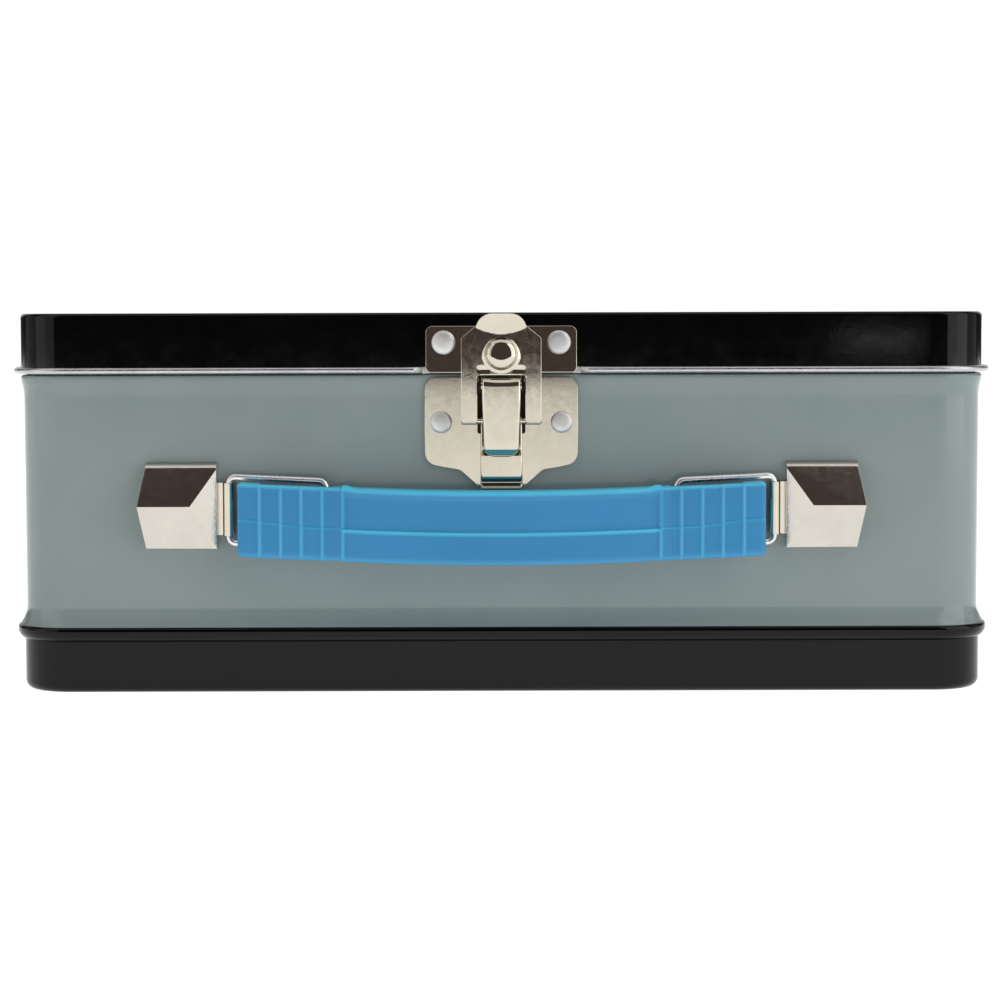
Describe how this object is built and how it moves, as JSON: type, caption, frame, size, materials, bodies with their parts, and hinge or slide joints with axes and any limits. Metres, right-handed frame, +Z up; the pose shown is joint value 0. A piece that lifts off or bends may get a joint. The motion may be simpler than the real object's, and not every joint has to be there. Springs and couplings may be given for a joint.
{
  "type": "sewing box with trays",
  "caption": "Tinplate carry case with a hinged lid, toggle latch, folding carry handle on sliding rings, and lift-out sewing trays stacked inside.",
  "frame": {"origin": "centre of the underside of the base pan", "axes": "+X to the right of someone facing the latch, along the case's length; the latch and handle are on the -Y side; +Z up"},
  "size_m": [0.1998, 0.1841, 0.077],
  "materials": {
    "black_enamel": "high gloss black enamel on tinplate",
    "grey_enamel": "gloss sage grey enamel on tinplate",
    "nickel": "bright nickel plate on pressed steel",
    "steel_wire": "bright plated round wire",
    "aluminium": "satin aluminium rivet",
    "blue_plastic": "satin moulded blue plastic",
    "tray_plastic": "satin moulded pale grey plastic"
  },
  "bodies": {
    "case": {"base_pan": "black_enamel", "body_band": "grey_enamel", "hinge_left_body_leaf": "nickel", "hinge_left_pin": "steel_wire", "hinge_left_body_rivet_1": "aluminium", "hinge_left_body_rivet_2": "aluminium", "hinge_right_body_leaf": "nickel", "hinge_right_pin": "steel_wire", "hinge_right_body_rivet_1": "aluminium", "hinge_right_body_rivet_2": "aluminium", "latch_base_plate": "nickel", "latch_pivot_pin": "nickel", "latch_base_rivet_left": "aluminium", "latch_base_rivet_right": "aluminium", "handle_cap_left": "nickel", "handle_strap_left": "nickel", "handle_rivet_left_lower": "aluminium", "handle_rivet_left_upper": "aluminium", "handle_cap_right": "nickel", "handle_strap_right": "nickel", "handle_rivet_right_lower": "aluminium", "handle_rivet_right_upper": "aluminium"},
    "lid": {"lid_pan": "black_enamel", "hinge_left_lid_leaf": "nickel", "hinge_left_lid_rivet_1": "aluminium", "hinge_left_lid_rivet_2": "aluminium", "hinge_right_lid_leaf": "nickel", "hinge_right_lid_rivet_1": "aluminium", "hinge_right_lid_rivet_2": "aluminium", "latch_lid_plate": "nickel", "latch_lid_rivet_left": "aluminium", "latch_lid_rivet_right": "aluminium"},
    "latch_lever": {"latch_lever": "nickel", "latch_hasp_pin": "nickel"},
    "latch_hasp": {"latch_hasp": "nickel"},
    "handle": {"handle_grip": "blue_plastic"},
    "ring_left": {"handle_ring_left": "steel_wire"},
    "ring_right": {"handle_ring_right": "steel_wire"},
    "lower_tray": {"lower_tray": "tray_plastic"},
    "upper_tray": {"upper_tray": "tray_plastic"}
  },
  "joints": [
    {"name": "lid_hinge", "type": "hinge", "parent": "case", "child": "lid", "pos_m": [0, 0.0866, 0.065], "axis": [-1, 0, 0], "range_deg": [0, 110]},
    {"name": "latch_lever", "type": "hinge", "parent": "case", "child": "latch_lever", "pos_m": [0, -0.0869, 0.0623], "axis": [-1, 0, 0], "range_deg": [0, 150]},
    {"name": "latch_hasp", "type": "hinge", "parent": "latch_lever", "child": "latch_hasp", "pos_m": [0, -0.08645, 0.0553], "axis": [-1, 0, 0], "range_deg": [-188, 0]},
    {"name": "handle_pull", "type": "slide", "parent": "case", "child": "handle", "axis": [0, -1, 0], "range_m": [0, 0.0145]},
    {"name": "ring_left_swing", "type": "hinge", "parent": "case", "child": "ring_left", "pos_m": [-0.055, -0.0855, 0.0374], "axis": [0, 0, -1], "range_deg": [0, 52]},
    {"name": "ring_right_swing", "type": "hinge", "parent": "case", "child": "ring_right", "pos_m": [0.055, -0.0855, 0.0374], "axis": [0, 0, 1], "range_deg": [0, 52]},
    {"name": "lower_tray_lift", "type": "slide", "parent": "case", "child": "lower_tray", "axis": [0, 0, 1], "range_m": [0, 0.008]},
    {"name": "upper_tray_lift", "type": "slide", "parent": "lower_tray", "child": "upper_tray", "axis": [0, 0, 1], "range_m": [0, 0.008]}
  ],
  "couplings": [
    {"joint": "latch_hasp", "follows": "latch_lever", "ratio": -1.25},
    {"joint": "ring_left_swing", "follows": "handle_pull", "rad_per_m": 62.6},
    {"joint": "ring_right_swing", "follows": "handle_pull", "rad_per_m": 62.6}
  ]
}
